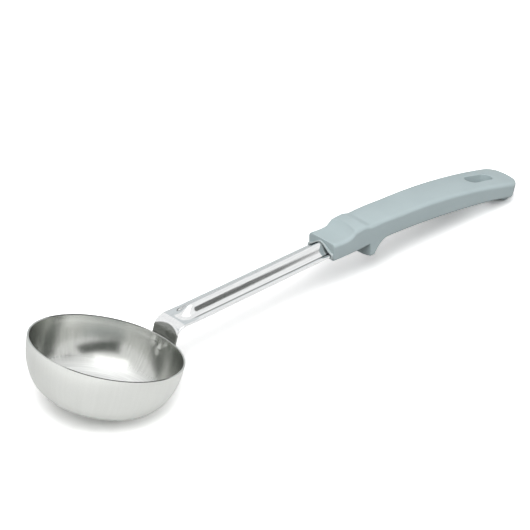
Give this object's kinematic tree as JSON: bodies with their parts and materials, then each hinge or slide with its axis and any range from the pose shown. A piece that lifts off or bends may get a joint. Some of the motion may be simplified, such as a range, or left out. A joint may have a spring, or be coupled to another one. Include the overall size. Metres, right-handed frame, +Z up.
{
  "type": "portion spoon",
  "caption": "Serving spoon for measured portions: round deep steel bowl, beaded steel shank and an arched plastic grip with thumb ridge, finger stop and hang slot.",
  "frame": {"origin": "on the table, under the middle of the spoon's bounding box", "axes": "+X from the bowl to the grip's tail, +Z up from the table, Y = 0 is the plane of symmetry"},
  "size_m": [0.3404, 0.0812, 0.0465],
  "materials": {
    "bowl_steel": "satin, fine brush lines inside, paler outside",
    "shank_steel": "polished bead and flanges, brushed tongue",
    "grip_plastic": "matte moulded blue-grey"
  },
  "bodies": {
    "root": {"bowl": "bowl_steel", "shank": "shank_steel", "grip": "grip_plastic"}
  },
  "joints": []
}
